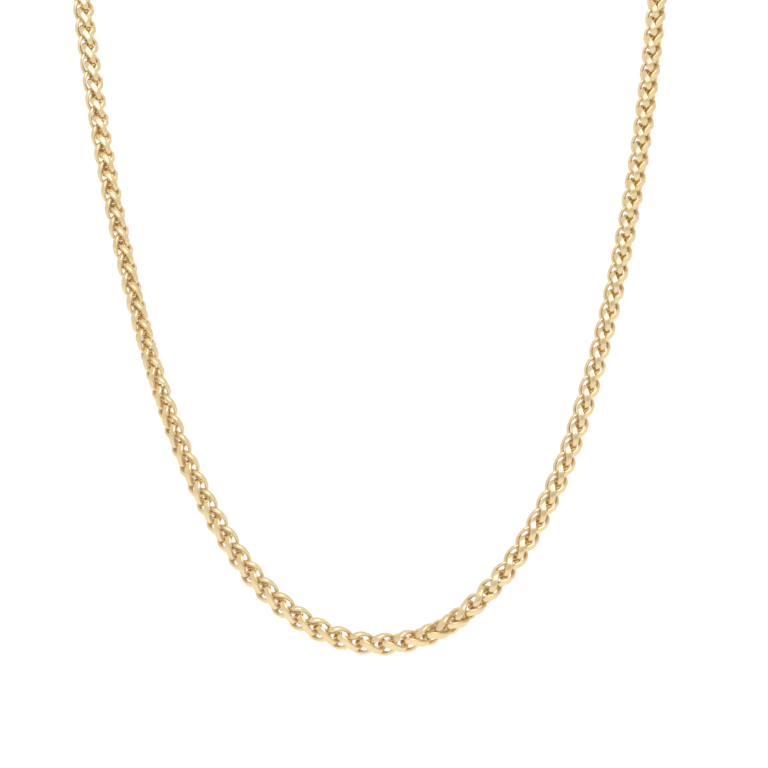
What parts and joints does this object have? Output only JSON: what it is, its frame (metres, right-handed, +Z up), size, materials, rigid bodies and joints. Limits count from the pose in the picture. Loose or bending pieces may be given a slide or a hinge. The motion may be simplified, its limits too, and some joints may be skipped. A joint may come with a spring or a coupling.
{
  "type": "wheat chain necklace",
  "caption": "Round woven wheat chain of twisted oval gold links, a closed necklace loop as worn, with an end ring on each side and a hooked clasp at the nape.",
  "frame": {"origin": "the nape: the middle of the clasp's side that lies against the back of the neck", "axes": "+Z up, the front of the necklace towards -Y, +X to the viewer's right from the front"},
  "size_m": [0.0988, 0.1075, 0.1343],
  "materials": {
    "chain_gold": "polished yellow gold",
    "ring_gold": "polished yellow gold",
    "clasp_gold": "polished yellow gold"
  },
  "bodies": {
    "root": {"chain": "chain_gold", "end_ring_left": "ring_gold", "end_ring_right": "ring_gold", "clasp": "clasp_gold"}
  },
  "joints": []
}
